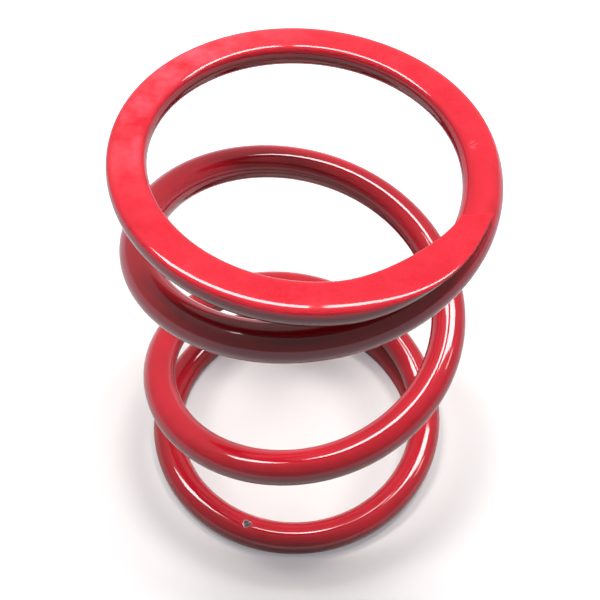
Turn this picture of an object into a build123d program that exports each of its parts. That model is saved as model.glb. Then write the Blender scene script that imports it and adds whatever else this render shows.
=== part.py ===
from build123d import *
from build123d.topology import SkipClean
import math
import os

# Clutch spring: a right-handed compression spring wound from one round wire.
# Both ends are closed level and ground flat. Origin at the centre of the lower
# ground face, +Z along the coil's axis. All sizes in millimetres and degrees.

# Wire and coil
wire_diameter = 6.15
mean_diameter = 54.0
free_length = 81.3
total_turns = 3.9
lower_tip_angle = 11.0

# Closed ends: turns wound level from each tip, then the turns over which the pitch opens
lower_level_turns = 0.50
lower_bend_turns = 0.86
upper_level_turns = 0.77
upper_bend_turns = 0.34

# Ground faces: how far the level wire's centre lies inside its ground face
seat_depth = 1.95

# Wire tips: each rides up on the next turn, is sheared at a slant and ground thin
tip_gap = 0.3
tip_turns = 0.15
shear_angle = 28.0

# Upper end turn: wound slightly oval, by this much more and less than the coil's radius,
# widest at this angle, and round again after the fading turns that follow the end turn
upper_oval = 0.65
upper_oval_angle = 134.0
oval_fade_turns = 0.5

# Centre line: points that it is drawn through, and stretches that it is swept in
points_per_turn = 24
spans_per_turn = 4

# Worked out from the sizes above
wire_radius = wire_diameter / 2
coil_radius = mean_diameter / 2
outer_radius = coil_radius + wire_radius
shear_turns = wire_radius * math.tan(math.radians(shear_angle)) / (math.pi * mean_diameter)
closed_turns = lower_level_turns + lower_bend_turns / 2 + upper_level_turns + upper_bend_turns / 2
full_pitch = (free_length - 2 * seat_depth) / (total_turns - closed_turns)


def smooth(share):
    # Blend from 0 to 1 that starts and ends level
    share = min(max(share, 0.0), 1.0)
    return share * share * (3 - 2 * share)


def smooth_area(share):
    # Area under that blend, from 0 to the given share
    share = max(share, 0.0)
    inside = min(share, 1.0)
    return inside**3 - inside**4 / 2 + (share - inside)


def climb(turn, level_turns, bend_turns):
    # Height gained from a tip up to the given turn, without the tip's own bend
    return full_pitch * bend_turns * smooth_area((turn - level_turns) / bend_turns)


def tip_rise(level_turns, bend_turns):
    # How far a tip is bent past its level turn to clear the turn that passes it
    return wire_diameter + tip_gap - climb(1 - shear_turns, level_turns, bend_turns)


def end_height(turn, level_turns, bend_turns):
    # Wire centre inside the ground face of one end, at the given turn from its tip
    bend = tip_rise(level_turns, bend_turns) * (1 - smooth(turn / tip_turns))
    return seat_depth + climb(turn, level_turns, bend_turns) - bend


def wire_height(turn):
    # The upper end is wound like the lower one, turned over
    if turn <= total_turns / 2:
        return end_height(turn, lower_level_turns, lower_bend_turns)
    return free_length - end_height(total_turns - turn, upper_level_turns, upper_bend_turns)


def winding_radius(turn):
    # Distance of the wire's centre from the axis
    fade = 1 - smooth((total_turns - turn - 1) / oval_fade_turns)
    from_widest = math.radians(lower_tip_angle + 360 * turn - upper_oval_angle)
    return coil_radius + upper_oval * fade * math.cos(2 * from_widest)


def wire_centre(turn):
    angle = math.radians(lower_tip_angle + 360 * turn)
    radius = winding_radius(turn)
    return Vector(radius * math.cos(angle), radius * math.sin(angle), wire_height(turn))


def make_path():
    # Centre line, a little past both tips so that they can be sheared at a slant
    first = -shear_turns
    last = total_turns + shear_turns
    steps = math.ceil((last - first) * points_per_turn)
    return Spline([wire_centre(first + (last - first) * step / steps) for step in range(steps + 1)])


def make_wire(path):
    section = Plane(origin=path @ 0, z_dir=path % 0) * Circle(wire_radius)
    return sweep(section, path=path)


def shear_tool(turn, direction):
    # Block past one tip: its slanted side is the sheared end of the wire
    size = 4 * wire_diameter
    block = Pos(0, direction * size / 2, 0) * Box(size, size, size)
    slant = Rot(0, 0, lower_tip_angle + 360 * turn + direction * shear_angle)
    return Pos(wire_centre(turn)) * slant * block


def grinding_tool(bottom):
    # Slab that takes away all wire past one ground face
    depth = 2 * wire_diameter
    slab = Cylinder(2 * outer_radius, depth, align=(Align.CENTER, Align.CENTER, Align.MIN))
    return Pos(0, 0, bottom) * slab


def make_spring():
    # Tips are sheared and ends are ground on short stretches, which are then joined end to end
    path = make_path()
    count = math.ceil(total_turns * spans_per_turn)
    spans = [make_wire(path.trim(index / count, (index + 1) / count)) for index in range(count)]
    lower_slab = grinding_tool(-2 * wire_diameter)
    upper_slab = grinding_tool(free_length)
    with SkipClean():
        spans[0] -= shear_tool(0, -1)
        spans[-1] -= shear_tool(total_turns, 1)
        ground = [span - lower_slab - upper_slab for span in spans]
        return ground[0].fuse(*ground[1:], glue=True)


spring_coil = make_spring().solid()
spring_coil.label = "spring_coil"

os.makedirs("parts", exist_ok=True)
export_step(spring_coil, "parts/spring_coil.step")
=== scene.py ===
"""Looks of a painted clutch spring: one wound wire, ground flat at both ends, in glossy red paint."""

import logging
import math
from dataclasses import dataclass, field
from enum import Enum

import bpy
import numpy as np
from mathutils import Matrix, Vector

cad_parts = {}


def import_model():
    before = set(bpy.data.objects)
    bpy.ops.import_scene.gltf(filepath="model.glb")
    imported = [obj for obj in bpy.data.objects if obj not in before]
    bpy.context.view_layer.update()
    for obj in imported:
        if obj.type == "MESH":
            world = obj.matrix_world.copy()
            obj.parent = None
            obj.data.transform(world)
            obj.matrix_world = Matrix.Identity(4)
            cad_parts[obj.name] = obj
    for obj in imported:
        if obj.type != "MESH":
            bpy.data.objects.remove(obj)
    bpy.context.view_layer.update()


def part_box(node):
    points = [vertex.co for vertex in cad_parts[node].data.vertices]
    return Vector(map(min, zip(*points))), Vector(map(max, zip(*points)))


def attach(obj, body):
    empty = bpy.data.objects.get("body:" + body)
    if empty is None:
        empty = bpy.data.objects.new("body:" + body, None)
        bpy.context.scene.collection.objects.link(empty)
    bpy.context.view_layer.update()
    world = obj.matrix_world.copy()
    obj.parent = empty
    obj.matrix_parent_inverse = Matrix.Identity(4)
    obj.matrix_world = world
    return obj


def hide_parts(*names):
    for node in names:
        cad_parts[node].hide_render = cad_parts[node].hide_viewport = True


MM = 0.001

Place = tuple[float, float, float]
Colour = tuple[float, float, float, float]

log = logging.getLogger("clutch_spring")


class End(Enum):
    """The two ends of the wire, as the direction in which the wire leaves the coil there."""

    LOWER = -1
    UPPER = 1


def smooth(share: np.ndarray) -> np.ndarray:
    """Blend from 0 to 1 that starts and ends level: 3 share squared less 2 share cubed.

    Args:
        share: how far along the blend each point is, of any size.

    Returns:
        The blend, kept between 0 and 1.
    """
    inside = np.clip(share, 0.0, 1.0)
    return inside * inside * (3.0 - 2.0 * inside)


def smooth_area(share: np.ndarray) -> np.ndarray:
    """Area under the blend from 0: share cubed less half its fourth power, then one for one past 1.

    Args:
        share: how far along the blend each point is, of any size.

    Returns:
        The area, 0 for a share below 0.
    """
    inside = np.clip(share, 0.0, 1.0)
    return inside**3 - inside**4 / 2 + np.maximum(share - 1.0, 0.0)


def soft_least(first: np.ndarray, second: np.ndarray, width: float) -> np.ndarray:
    """The lesser of two lengths, with the corner between them rounded over a width.

    Args:
        first: one length at each point.
        second: the other length at each point.
        width: difference within which both take part.

    Returns:
        The rounded least length.
    """
    share = np.clip(0.5 + 0.5 * (second - first) / width, 0.0, 1.0)
    return second + (first - second) * share - width * share * (1.0 - share)


@dataclass(frozen=True)
class EndWinding:
    """How one closed end is wound, in turns counted from its tip."""

    level_turns: float
    bend_turns: float


@dataclass(frozen=True)
class Chip:
    """A spot where the paint has broken off and shows dark metal."""

    turn: float
    around: float
    length: float = 1.65 * MM
    depth: float = 0.10 * MM


@dataclass
class Coil:
    """The wound wire. Lengths in metres, angles in degrees, places along it in turns from the lower tip."""

    free_length: float
    wire_diameter: float = 6.15 * MM
    mean_diameter: float = 54.0 * MM
    total_turns: float = 3.9
    lower_tip_angle: float = 11.0
    lower: EndWinding = EndWinding(level_turns=0.50, bend_turns=0.86)
    upper: EndWinding = EndWinding(level_turns=0.77, bend_turns=0.34)
    seat_depth: float = 1.95 * MM
    tip_gap: float = 0.3 * MM
    tip_turns: float = 0.15
    shear_angle: float = 28.0
    upper_oval: float = 0.65 * MM
    upper_oval_angle: float = 134.0
    oval_fade_turns: float = 0.5
    edge_round: float = 1.2 * MM
    tip_round: float = 0.16 * MM
    points_around: int = 96
    rows_per_turn: int = 190
    chip: Chip = Chip(turn=0.667, around=90.0)
    waves: tuple[tuple[int, float], ...] = (
        (3, 0.008 * MM),
        (7, 0.005 * MM),
        (17, 0.0025 * MM),
        (31, 0.0012 * MM),
        (67, 0.0005 * MM),
    )
    wave_turns: float = 1.7
    twist_turns: float = 2.3
    rng: np.random.Generator = field(default_factory=lambda: np.random.default_rng(7))

    @property
    def wire_radius(self) -> float:
        """Half the painted wire's diameter."""
        return self.wire_diameter / 2

    @property
    def shear_turns(self) -> float:
        """How far a sheared tip's outer side reaches past its middle, in turns."""
        return self.wire_radius * math.tan(math.radians(self.shear_angle)) / (math.pi * self.mean_diameter)

    @property
    def full_pitch(self) -> float:
        """Rise of one open turn: the height left between the seats over the turns that climb it."""
        closed = sum(end.level_turns + end.bend_turns / 2 for end in (self.lower, self.upper))
        return (self.free_length - 2 * self.seat_depth) / (self.total_turns - closed)

    def climb(self, turn: np.ndarray, end: EndWinding) -> np.ndarray:
        """Height gained from one tip: the full pitch times the area under the bend's blend.

        Args:
            turn: turns from that tip.
            end: how that end is wound.

        Returns:
            Height above the level turn.
        """
        return self.full_pitch * end.bend_turns * smooth_area((turn - end.level_turns) / end.bend_turns)

    def end_height(self, turn: np.ndarray, end: EndWinding) -> np.ndarray:
        """Depth of the wire's centre inside one ground face: seat, plus climb, less the tip's bend past the face.

        Args:
            turn: turns from that face's tip.
            end: how that end is wound.

        Returns:
            Depth inside the face.
        """
        passing = self.climb(np.array(1.0 - self.shear_turns), end)
        rise = self.wire_diameter + self.tip_gap - passing
        return self.seat_depth + self.climb(turn, end) - rise * (1.0 - smooth(turn / self.tip_turns))

    def centre(self, turn: np.ndarray) -> np.ndarray:
        """Wire centre: a helix whose radius gains a cosine of twice the angle on the oval upper turn.

        Args:
            turn: turns from the lower tip, of any shape.

        Returns:
            Points, with x, y and z on a last axis.
        """
        angle = np.radians(self.lower_tip_angle + 360.0 * turn)
        fade = 1.0 - smooth((self.total_turns - turn - 1.0) / self.oval_fade_turns)
        oval = self.upper_oval * fade * np.cos(2.0 * (angle - math.radians(self.upper_oval_angle)))
        radius = self.mean_diameter / 2 + oval
        low = self.end_height(turn, self.lower)
        high = self.free_length - self.end_height(self.total_turns - turn, self.upper)
        height = np.where(turn <= self.total_turns / 2, low, high)
        return np.stack([radius * np.cos(angle), radius * np.sin(angle), height], -1)

    def axes(self, turn: np.ndarray) -> tuple[np.ndarray, np.ndarray, np.ndarray]:
        """Directions at each place: along the wire, outward across it, and up across it.

        Args:
            turn: turns from the lower tip, of any shape.

        Returns:
            Three arrays of unit vectors.
        """
        step = 1e-4
        along = self.centre(turn + step) - self.centre(turn - step)
        along /= np.linalg.norm(along, axis=-1, keepdims=True)
        angle = np.radians(self.lower_tip_angle + 360.0 * turn)
        outward = np.stack([np.cos(angle), np.sin(angle), np.zeros_like(angle)], -1)
        outward -= along * np.sum(outward * along, -1, keepdims=True)
        outward /= np.linalg.norm(outward, axis=-1, keepdims=True)
        return along, outward, np.cross(outward, along)

    def section(self, turn: np.ndarray, around: np.ndarray) -> tuple[np.ndarray, np.ndarray, np.ndarray]:
        """Outline of the wire at each place: its circle cut by both ground faces, with rounded corners.

        Rays leave a pole midway between the outline's top and bottom. Each ends at the nearer of the
        circle and the ground face, and their angles crowd where the outline is thin, as on an ellipse.

        Args:
            turn: turns from the lower tip.
            around: angle of each ray's share of the outline, in radians from outward.

        Returns:
            Distance outward, distance up from the wire's centre, and how far each point is on a ground face.
        """
        radius = self.wire_radius
        height = self.centre(turn)[..., 2]
        tilt = self.axes(turn)[2][..., 2]
        top = (self.free_length - height) / tilt
        bottom = height / tilt
        upper = np.minimum(top, radius)
        lower = np.minimum(bottom, radius)
        pole = (upper - lower) / 2
        half_height = (upper + lower) / 2
        half_width = np.sqrt(radius**2 - np.minimum(np.minimum(upper, lower), 0.0) ** 2)
        ray = np.arctan2(half_height * np.sin(around), half_width * np.cos(around))
        rise = np.sin(ray)
        circle = np.sqrt(radius**2 - (pole * np.cos(ray)) ** 2) - pole * rise
        far = 10.0 * radius
        to_top = np.where(rise > 1e-6, (top - pole) / np.maximum(rise, 1e-6), far)
        to_bottom = np.where(rise < -1e-6, (bottom + pole) / np.maximum(-rise, 1e-6), far)
        to_ground = np.minimum(np.minimum(to_top, to_bottom), far)
        reach = soft_least(circle, to_ground, self.edge_round)
        ground = smooth((circle - to_ground) / self.edge_round + 0.5)
        return reach * np.cos(ray), pole + reach * rise, ground

    def unevenness(self, turn: np.ndarray, around: np.ndarray) -> np.ndarray:
        """Slight waves of drawn wire and sprayed paint: a few sines, long and short, along and around the wire.

        Args:
            turn: turns from the lower tip.
            around: angle around the wire, in radians.

        Returns:
            Height of the waves, in metres.
        """
        total = np.zeros_like(turn + around)
        for count, height in self.waves:
            phase = self.rng.uniform(0, 2 * math.pi, 3)
            along = np.sin(2 * math.pi * count * turn / self.wave_turns + phase[0])
            twist = 2 * math.pi * count * turn / self.twist_turns
            total += height * along * np.sin(around + phase[1])
            total += 0.5 * height * np.sin(2 * around + phase[2] + twist)
        return total

    def rows(self) -> np.ndarray:
        """Places of the mesh's rows: even along the wire, with more of them across the chip."""
        count = int(self.total_turns * self.rows_per_turn)
        even = np.linspace(0.0, self.total_turns, count + 1)
        reach = self.chip.length / (math.pi * self.mean_diameter)
        fine = np.linspace(self.chip.turn - reach, self.chip.turn + reach, 31)
        kept = even[(even < fine[0] - reach / 20) | (even > fine[-1] + reach / 20)]
        return np.sort(np.concatenate([kept, fine]))

    def chip_share(self, turn: np.ndarray, around: np.ndarray) -> np.ndarray:
        """Distance from the chip's middle, as a share of its ragged outline: a circle with three and seven lobes.

        Args:
            turn: turns from the lower tip.
            around: angle around the wire, in radians.

        Returns:
            The share, 1 on the outline.
        """
        along = (turn - self.chip.turn) * math.pi * self.mean_diameter
        across = (around - math.radians(self.chip.around)) * self.wire_radius
        bearing = np.arctan2(across, along)
        ragged = 1.0 + 0.16 * np.sin(3 * bearing + 0.6) + 0.09 * np.sin(7 * bearing + 2.0)
        return np.hypot(along, across * 1.15) / (self.chip.length / 2 * ragged)

    def wall(self, turn: np.ndarray, around: np.ndarray) -> tuple[np.ndarray, np.ndarray, np.ndarray]:
        """Points of the wire's side, sheared near both tips so that each ends on its slanted cut.

        A point's place along the wire moves by its outward distance times the tangent of the shear
        angle, by all of it at a tip and by none of it one and a half wire diameters away.

        Args:
            turn: turns from the lower tip, one for each row, as a column.
            around: angle around the wire, in radians, as a row.

        Returns:
            Points on the grid of rows and columns, and at each how far it is ground and how far chipped.
        """
        reach = 1.5 * self.wire_diameter / (math.pi * self.mean_diameter)
        low = 1.0 - smooth(turn / reach)
        high = 1.0 - smooth((self.total_turns - turn) / reach)
        placed = turn + (high - low) * self.shear_turns * np.cos(around)
        outward, upward, ground = self.section(placed, around + 0.0 * turn)
        share = self.chip_share(placed, around)
        chipped = 1.0 - smooth((share - 0.85) / 0.3)
        rise = (1.0 - ground) * self.unevenness(placed, around) - self.chip.depth * chipped
        lift = 1.0 + rise / self.wire_radius
        _, across, up = self.axes(placed)
        points = self.centre(placed) + (outward * lift)[..., None] * across + (upward * lift)[..., None] * up
        return points, ground, np.clip(1.6 - share, 0.0, 1.0)

    def cap(self, ring: np.ndarray, end: End) -> np.ndarray:
        """Rows that close one tip: a quarter round at its rim, then rings that shrink on the slanted cut.

        Args:
            ring: the wall's last row of points.
            end: which tip it is.

        Returns:
            Rows of points, outermost first, without the middle point.
        """
        middle = ring.mean(0)
        last = np.array(0.0 if end is End.LOWER else self.total_turns)
        along = self.axes(last)[0] * end.value
        toward = middle - ring
        distance = np.linalg.norm(toward, axis=1, keepdims=True)
        toward /= distance
        quarter = np.radians([22.5, 45.0, 67.5, 90.0])[:, None, None]
        inset = np.minimum(self.tip_round, 0.3 * distance)
        rim = ring + toward * inset * (1.0 - np.cos(quarter)) + along * inset * np.sin(quarter)
        shrink = np.array([0.25, 0.5, 0.75])[:, None, None]
        flat = rim[-1] + (middle + along * self.tip_round * 0.7 - rim[-1]) * shrink
        return np.concatenate([rim, flat])

    def build(self) -> bpy.types.Object:
        """Builds the wire as one closed mesh.

        Returns:
            The new object, at the origin.
        """
        turn = self.rows()[:, None]
        around = np.linspace(0.0, 2 * math.pi, self.points_around, endpoint=False)[None, :]
        wall, ground, chipped = self.wall(turn, around)
        lower = self.cap(wall[0], End.LOWER)[::-1]
        upper = self.cap(wall[-1], End.UPPER)
        grid = np.concatenate([lower, wall, upper])
        points = np.concatenate([grid.reshape(-1, 3), lower[0].mean(0)[None], upper[-1].mean(0)[None]])
        made = mesh_object("painted_coil", points, closed_tube_faces(len(grid), self.points_around))
        first = len(lower) * self.points_around
        for name, values in (("ground", ground), ("chipped", chipped)):
            spread = np.zeros(len(points), np.float32)
            spread[first : first + values.size] = values.ravel()
            made.data.attributes.new(name, "FLOAT", "POINT").data.foreach_set("value", spread)
        return made


def closed_tube_faces(rows: int, columns: int) -> list[tuple[int, ...]]:
    """Faces of a tube of rows by columns points, followed by the two middle points of its ends.

    Args:
        rows: rows along the tube.
        columns: points around it.

    Returns:
        Quads of the wall and triangles of the ends, facing outwards.
    """
    row = np.arange(rows - 1)[:, None] * columns
    here = np.arange(columns)[None, :]
    after = (here + 1) % columns
    quads = np.stack([row + here, row + columns + here, row + columns + after, row + after], -1).reshape(-1, 4)
    first = rows * columns
    last = (rows - 1) * columns
    start = np.stack([here[0], after[0], np.full(columns, first)], -1)
    finish = np.stack([last + after[0], last + here[0], np.full(columns, first + 1)], -1)
    return [tuple(face) for part in (quads, start, finish) for face in part.tolist()]


def mesh_object(name: str, points: np.ndarray, faces: list[tuple[int, ...]]) -> bpy.types.Object:
    """Puts points and faces into a new smooth-shaded object at the origin.

    Args:
        name: name of the object and its mesh.
        points: points in metres.
        faces: corners of each face.

    Returns:
        The new object.
    """
    mesh = bpy.data.meshes.new(name)
    mesh.from_pydata(points.tolist(), [], faces)
    mesh.polygons.foreach_set("use_smooth", np.ones(len(mesh.polygons), bool))
    mesh.update()
    made = bpy.data.objects.new(name, mesh)
    bpy.context.scene.collection.objects.link(made)
    return made


class Nodes:
    """Short calls for building one material's or world's node tree."""

    def __init__(self, tree: bpy.types.NodeTree) -> None:
        """Keeps the tree."""
        self.tree = tree

    def add(self, kind: str, **inputs: object) -> bpy.types.Node:
        """Adds a node and sets or links its inputs.

        Args:
            kind: the node's type, without the leading ShaderNode.
            inputs: values or output sockets for the inputs, by name with underscores for spaces.

        Returns:
            The node.
        """
        made = self.tree.nodes.new("ShaderNode" + kind)
        for name, value in inputs.items():
            self.feed(made.inputs[name.replace("_", " ")], value)
        return made

    def feed(self, socket: bpy.types.NodeSocket, value: object) -> None:
        """Sets a socket to a value, or links it where the value is an output socket."""
        if isinstance(value, bpy.types.NodeSocket):
            self.tree.links.new(value, socket)
        else:
            socket.default_value = value

    def math(self, operation: str, first: object, second: object = 0.0) -> bpy.types.NodeSocket:
        """Adds a sum, product or other operation of two values.

        Args:
            operation: the operation's name in Blender.
            first: value or output socket.
            second: value or output socket.

        Returns:
            The result's socket.
        """
        made = self.add("Math")
        made.operation = operation
        self.feed(made.inputs[0], first)
        self.feed(made.inputs[1], second)
        return made.outputs[0]

    def ramp(self, value: object, low: float, high: float, to_low: float, to_high: float) -> bpy.types.NodeSocket:
        """Adds a clamped straight-line change from one range to another.

        Args:
            value: output socket of the value.
            low: value that gives the first result.
            high: value that gives the second result.
            to_low: first result.
            to_high: second result.

        Returns:
            The result's socket.
        """
        limits = {"From_Min": low, "From_Max": high, "To_Min": to_low, "To_Max": to_high}
        return self.add("MapRange", Value=value, **limits).outputs["Result"]

    def blend(self, share: object, first: object, second: object) -> bpy.types.NodeSocket:
        """Adds a mix of two colours.

        Args:
            share: share of the second colour.
            first: colour or output socket.
            second: colour or output socket.

        Returns:
            The mixed colour's socket.
        """
        made = self.add("Mix")
        made.data_type = "RGBA"
        self.feed(made.inputs[0], share)
        self.feed(made.inputs[6], first)
        self.feed(made.inputs[7], second)
        return made.outputs[2]

    def noise(self, place: object, scale: float, detail: float = 2.0) -> bpy.types.NodeSocket:
        """Adds a noise of so many features a metre.

        Args:
            place: socket of the coordinates.
            scale: features in a metre.
            detail: finer layers on top.

        Returns:
            The value's socket.
        """
        return self.add("TexNoise", Vector=place, Scale=scale, Detail=detail).outputs["Fac"]


@dataclass(frozen=True)
class GlossRed:
    """Glossy red paint over steel, with a fine orange peel, dull scuffs on the ground ends and one chip."""

    base: Colour = (0.64, 0.007, 0.024, 1.0)
    deep: Colour = (0.56, 0.005, 0.018, 1.0)
    scuffed: Colour = (0.90, 0.110, 0.150, 1.0)
    primer: Colour = (0.42, 0.25, 0.25, 1.0)
    steel: Colour = (0.070, 0.080, 0.075, 1.0)
    scuff_at: Place = (-0.021, 0.014, 0.081)
    scratch_at: Place = (0.0253, 0.0028, 0.0813)
    specular: float = 0.06
    coat_roughness: float = 0.055
    coat_ior: float = 1.6
    coat_weight: float = 0.95
    ground_coat_weight: float = 0.8
    roughness: float = 0.42
    ground_roughness: float = 0.34
    peel_height: float = 0.0022 * MM
    nib_height: float = 0.022 * MM

    def material(self) -> bpy.types.Material:
        """Makes the paint.

        Returns:
            The material.
        """
        made = bpy.data.materials.new("gloss_red_paint")
        made.use_nodes = True
        nodes = Nodes(made.node_tree)
        shader = made.node_tree.nodes["Principled BSDF"]
        shader.inputs["Specular IOR Level"].default_value = self.specular
        shader.inputs["Coat Roughness"].default_value = self.coat_roughness
        shader.inputs["Coat IOR"].default_value = self.coat_ior
        place = nodes.add("TexCoord").outputs["Object"]
        ground = self.attribute(nodes, "ground")
        chipped = self.attribute(nodes, "chipped")
        bare = nodes.ramp(chipped, 0.62, 0.78, 0.0, 1.0)
        rim = nodes.ramp(chipped, 0.48, 0.60, 0.0, 1.0)
        scuff = nodes.math("MULTIPLY", ground, self.wear(nodes, place))
        grain = nodes.ramp(nodes.noise(place, 1400.0, 3.0), 0.35, 0.65, 0.0, 1.0)
        clouds = nodes.ramp(nodes.noise(place, 160.0, 3.0), 0.35, 0.7, 0.0, 1.0)
        depth = nodes.math("MAXIMUM", clouds, nodes.math("MULTIPLY", ground, grain))
        paint = nodes.blend(depth, self.base, self.deep)
        colour = nodes.blend(scuff, paint, self.scuffed)
        colour = nodes.blend(rim, colour, self.primer)
        speckle = nodes.ramp(nodes.noise(place, 2600.0, 3.0), 0.3, 0.7, 0.4, 1.7)
        metal = nodes.add("VectorMath", Vector=self.steel[:3])
        metal.operation = "SCALE"
        nodes.feed(metal.inputs["Scale"], speckle)
        colour = nodes.blend(bare, colour, metal.outputs[0])
        nodes.feed(shader.inputs["Base Color"], colour)
        even = nodes.ramp(ground, 0.0, 1.0, self.roughness, self.ground_roughness)
        dull = nodes.math("ADD", even, nodes.math("MULTIPLY", scuff, 0.3))
        nodes.feed(shader.inputs["Roughness"], dull)
        nodes.feed(shader.inputs["Metallic"], nodes.math("MULTIPLY", bare, 0.7))
        coat = nodes.ramp(ground, 0.0, 1.0, self.coat_weight, self.ground_coat_weight)
        gloss = nodes.math("MULTIPLY", coat, nodes.ramp(rim, 0.0, 1.0, 1.0, 0.0))
        nodes.feed(shader.inputs["Coat Weight"], gloss)
        skin = self.skin(nodes, place)
        nodes.feed(shader.inputs["Normal"], skin)
        nodes.feed(shader.inputs["Coat Normal"], skin)
        return made

    def wear(self, nodes: Nodes, place: bpy.types.NodeSocket) -> bpy.types.NodeSocket:
        """Makes the wear of a ground face: blotches, most of them in one place, and a few short scratches.

        Args:
            nodes: the material's nodes.
            place: object coordinates.

        Returns:
            The wear's socket.
        """
        worn = nodes.ramp(self.away(nodes, place, self.scuff_at), 0.010, 0.026, 0.8, 0.12)
        blotches = nodes.ramp(nodes.noise(place, 240.0, 6.0), 0.34, 0.74, 0.0, 1.0)
        turned = nodes.add("Mapping", Vector=place, Rotation=(0.0, 0.0, -0.35)).outputs[0]
        lines = nodes.add("Mapping", Vector=turned, Scale=(600.0, 3200.0, 1.0))
        streaks = nodes.ramp(nodes.noise(lines.outputs[0], 1.0, 1.0), 0.48, 0.58, 0.0, 0.9)
        near = nodes.ramp(self.away(nodes, place, self.scratch_at), 0.0006, 0.0012, 1.0, 0.0)
        scratches = nodes.math("MULTIPLY", streaks, near)
        return nodes.math("MAXIMUM", nodes.math("MULTIPLY", worn, blotches), scratches)

    def away(self, nodes: Nodes, place: bpy.types.NodeSocket, spot: Place) -> bpy.types.NodeSocket:
        """Makes the distance from one spot on the object."""
        made = nodes.add("VectorMath")
        made.operation = "DISTANCE"
        nodes.feed(made.inputs[0], place)
        nodes.feed(made.inputs[1], spot)
        return made.outputs["Value"]

    def attribute(self, nodes: Nodes, name: str) -> bpy.types.NodeSocket:
        """Reads one of the wire's own values."""
        made = nodes.add("Attribute")
        made.attribute_name = name
        return made.outputs["Fac"]

    def skin(self, nodes: Nodes, place: bpy.types.NodeSocket) -> bpy.types.NodeSocket:
        """Makes the surface relief: orange peel about one and four millimetres wide, and sparse dust nibs.

        Args:
            nodes: the material's nodes.
            place: object coordinates.

        Returns:
            The normal's socket.
        """
        broad = nodes.math("MULTIPLY", nodes.noise(place, 260.0), 2.0)
        peel = nodes.math("ADD", nodes.noise(place, 850.0, 1.0), broad)
        cells = nodes.add("TexVoronoi", Vector=place, Scale=230.0)
        chosen = nodes.add("SeparateColor", Color=cells.outputs["Color"]).outputs[0]
        near = nodes.ramp(cells.outputs["Distance"], 0.02, 0.085, 1.0, 0.0)
        nibs = nodes.math("MULTIPLY", near, nodes.math("GREATER_THAN", chosen, 0.72))
        lifted = nodes.math("MULTIPLY", nibs, self.nib_height)
        height = nodes.math("ADD", nodes.math("MULTIPLY", peel, self.peel_height), lifted)
        return nodes.add("Bump", Height=height, Strength=1.0, Distance=1.0).outputs["Normal"]


@dataclass(frozen=True)
class View:
    """The photograph's viewpoint, worked out from the outlines of the coils."""

    back: float = 108.52 * MM
    above_top: float = 106.89 * MM
    down_angle: float = 52.976
    roll: float = 1.971
    lens: float = 60.306
    sensor: float = 36.0

    def place(self, top: float) -> bpy.types.Object:
        """Makes the camera and the scene's camera.

        Args:
            top: height of the upper ground face.

        Returns:
            The camera.
        """
        down = math.radians(self.down_angle)
        roll = math.radians(self.roll)
        forward = Vector((0.0, math.cos(down), -math.sin(down)))
        level = Vector((1.0, 0.0, 0.0))
        upright = level.cross(forward)
        right = math.cos(roll) * level + math.sin(roll) * upright
        up = -math.sin(roll) * level + math.cos(roll) * upright
        data = bpy.data.cameras.new("camera")
        data.lens = self.lens
        data.sensor_width = self.sensor
        data.clip_start = 0.005
        made = bpy.data.objects.new("camera", data)
        turn = Matrix((right, up, -forward)).transposed().to_4x4()
        made.matrix_world = Matrix.Translation((0.0, -self.back, top + self.above_top)) @ turn
        bpy.context.scene.collection.objects.link(made)
        bpy.context.scene.camera = made
        return made


@dataclass(frozen=True)
class Lamp:
    """One rectangular lamp, as bright as its radiance says. It shines straight down, or towards its aim."""

    name: str
    at: Place
    size: tuple[float, float]
    radiance: float
    colour: tuple[float, float, float] = (1.0, 1.0, 1.0)
    aim: Place | None = None
    in_gloss: bool = True
    in_matt: bool = True

    def place(self) -> bpy.types.Object:
        """Makes the lamp: its power is the radiance times pi times its area.

        Returns:
            The lamp.
        """
        data = bpy.data.lights.new(self.name, "AREA")
        data.shape = "RECTANGLE"
        data.size, data.size_y = self.size
        data.energy = self.radiance * math.pi * self.size[0] * self.size[1]
        data.color = self.colour
        made = bpy.data.objects.new(self.name, data)
        made.location = self.at
        made.visible_glossy = self.in_gloss
        made.visible_diffuse = self.in_matt
        if self.aim is not None:
            toward = Vector(self.aim) - Vector(self.at)
            made.rotation_euler = toward.to_track_quat("-Z", "Y").to_euler()
        bpy.context.scene.collection.objects.link(made)
        return made


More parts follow.
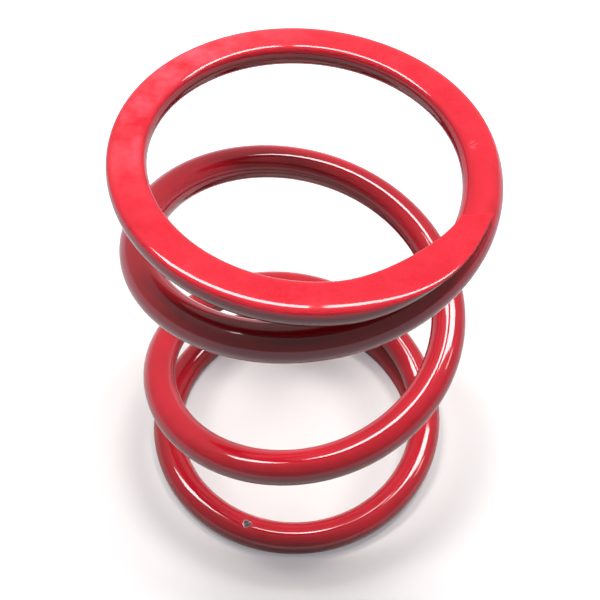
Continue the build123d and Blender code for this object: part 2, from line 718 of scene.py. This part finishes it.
@dataclass
class Studio:
    """A white table in a pale room, lit from above.

    Two strip lamps are seen in the gloss only. A key lamp and a ceiling glow light the paint's
    colour only, and a small side lamp does both.
    """

    table_size: float = 4.0
    table_clearance: float = 0.02 * MM
    ambient: float = 0.09
    room_front: float = 0.36
    room_back: float = 0.55
    table_white: float = 0.12
    table_glow: float = 2.2
    table_bounce: Colour = (0.04, 0.04, 0.04, 1.0)
    table_colour: Colour = (0.71, 0.67, 0.635, 1.0)
    glow_colour: Colour = (0.93, 0.91, 1.0, 1.0)
    white_from: float = 36.0 * MM
    white_to: float = 150.0 * MM
    lamps: tuple[Lamp, ...] = (
        Lamp("left_strip", (-0.385, 0.14, 1.04), (0.79, 0.22), 17.0, in_matt=False),
        Lamp("right_strip", (0.40, 0.18, 1.04), (0.69, 0.22), 17.0, in_matt=False),
        Lamp("key_lamp", (0.0, 0.14, 1.05), (0.75, 0.12), 54.0, in_gloss=False),
        Lamp("ceiling_glow", (0.0, -0.10, 1.12), (1.2, 0.18), 3.0, in_gloss=False),
        Lamp("side_lamp", (1.15, -0.04, 1.04), (0.20, 0.20), 8.0, (1.0, 0.93, 0.84), (0.0, 0.0, 0.04)),
    )

    def seen(self, nodes: Nodes) -> bpy.types.NodeSocket:
        """Makes a value that is 1 for the camera and for rays that a gloss or a glass sends on, else 0."""
        path = nodes.add("LightPath").outputs
        sent = nodes.math("MAXIMUM", path["Is Glossy Ray"], path["Is Transmission Ray"])
        return nodes.math("MAXIMUM", path["Is Camera Ray"], sent)

    def pale_room(self) -> None:
        """Makes the surround: white to the camera, but grey in reflections and dim as matt light.

        In reflections its strength rises from room_front to room_back, and as matt light from a fifth
        of ambient to ambient, so neither is as white as the background that the camera sees.
        """
        world = bpy.data.worlds.new("pale_room")
        bpy.context.scene.world = world
        world.use_nodes = True
        nodes = Nodes(world.node_tree)
        toward = nodes.add("SeparateXYZ", Vector=nodes.add("TexCoord").outputs["Generated"]).outputs["Y"]
        room = nodes.ramp(toward, -0.45, 0.45, self.room_front, self.room_back)
        camera = nodes.add("LightPath").outputs["Is Camera Ray"]
        shown = nodes.math("MAXIMUM", room, camera)
        felt = nodes.ramp(toward, -0.6, 0.3, self.ambient * 0.2, self.ambient)
        pick = nodes.add("Mix", Factor=self.seen(nodes), A=felt, B=shown)
        back = world.node_tree.nodes["Background"]
        back.inputs["Color"].default_value = (1.0, 1.0, 1.0, 1.0)
        nodes.feed(back.inputs["Strength"], pick.outputs[0])

    def table(self) -> bpy.types.Object:
        """Makes the white table top: it keeps the object's shadow near the object and glows white farther out.

        The glow's strength is table_glow to the camera and 1 in reflections. It doesn't light the
        object: to matt light the table is nearly black, as table_bounce says.

        Returns:
            The table top.
        """
        half = self.table_size / 2
        low = -self.table_clearance
        corners = np.array([(-half, -half, low), (half, -half, low), (half, half, low), (-half, half, low)])
        made = mesh_object("table_top", corners, [(0, 1, 2, 3)])
        finish = bpy.data.materials.new("white_table")
        finish.use_nodes = True
        nodes = Nodes(finish.node_tree)
        felt = nodes.add("BsdfDiffuse", Color=self.table_bounce)
        top = nodes.add("BsdfDiffuse", Color=self.table_colour)
        camera = nodes.add("LightPath").outputs["Is Camera Ray"]
        glow = nodes.add("Emission", Color=self.glow_colour)
        nodes.feed(glow.inputs["Strength"], nodes.ramp(camera, 0.0, 1.0, 1.0, self.table_glow))
        distance = nodes.add("VectorMath", Vector=nodes.add("TexCoord").outputs["Object"])
        distance.operation = "LENGTH"
        white = nodes.ramp(distance.outputs["Value"], self.white_from, self.white_to, self.table_white, 1.0)
        shown = nodes.add("MixShader", Fac=white)
        picked = nodes.add("MixShader", Fac=self.seen(nodes))
        links = finish.node_tree.links
        links.new(top.outputs[0], shown.inputs[1])
        links.new(glow.outputs[0], shown.inputs[2])
        links.new(felt.outputs[0], picked.inputs[1])
        links.new(shown.outputs[0], picked.inputs[2])
        links.new(picked.outputs[0], finish.node_tree.nodes["Material Output"].inputs["Surface"])
        made.data.materials.append(finish)
        return made

    def build(self) -> None:
        """Makes the surround, the table and the lamps."""
        self.pale_room()
        self.table()
        for lamp in self.lamps:
            lamp.place()
        bpy.context.scene.view_settings.view_transform = "Standard"


def main() -> None:
    """Builds the spring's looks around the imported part."""
    logging.basicConfig(level=logging.INFO, format="%(message)s")
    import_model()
    low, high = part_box("spring_coil")
    coil = Coil(free_length=high.z - low.z)
    wire = coil.build()
    wire.data.materials.append(GlossRed().material())
    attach(wire, "root")
    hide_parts("spring_coil")
    log.info("painted_coil: %d vertices, %d faces", len(wire.data.vertices), len(wire.data.polygons))
    View().place(high.z)
    studio = Studio()
    studio.build()
    log.info("studio: camera, table and %d lamps", len(studio.lamps))


if __name__ == "__main__":
    main()
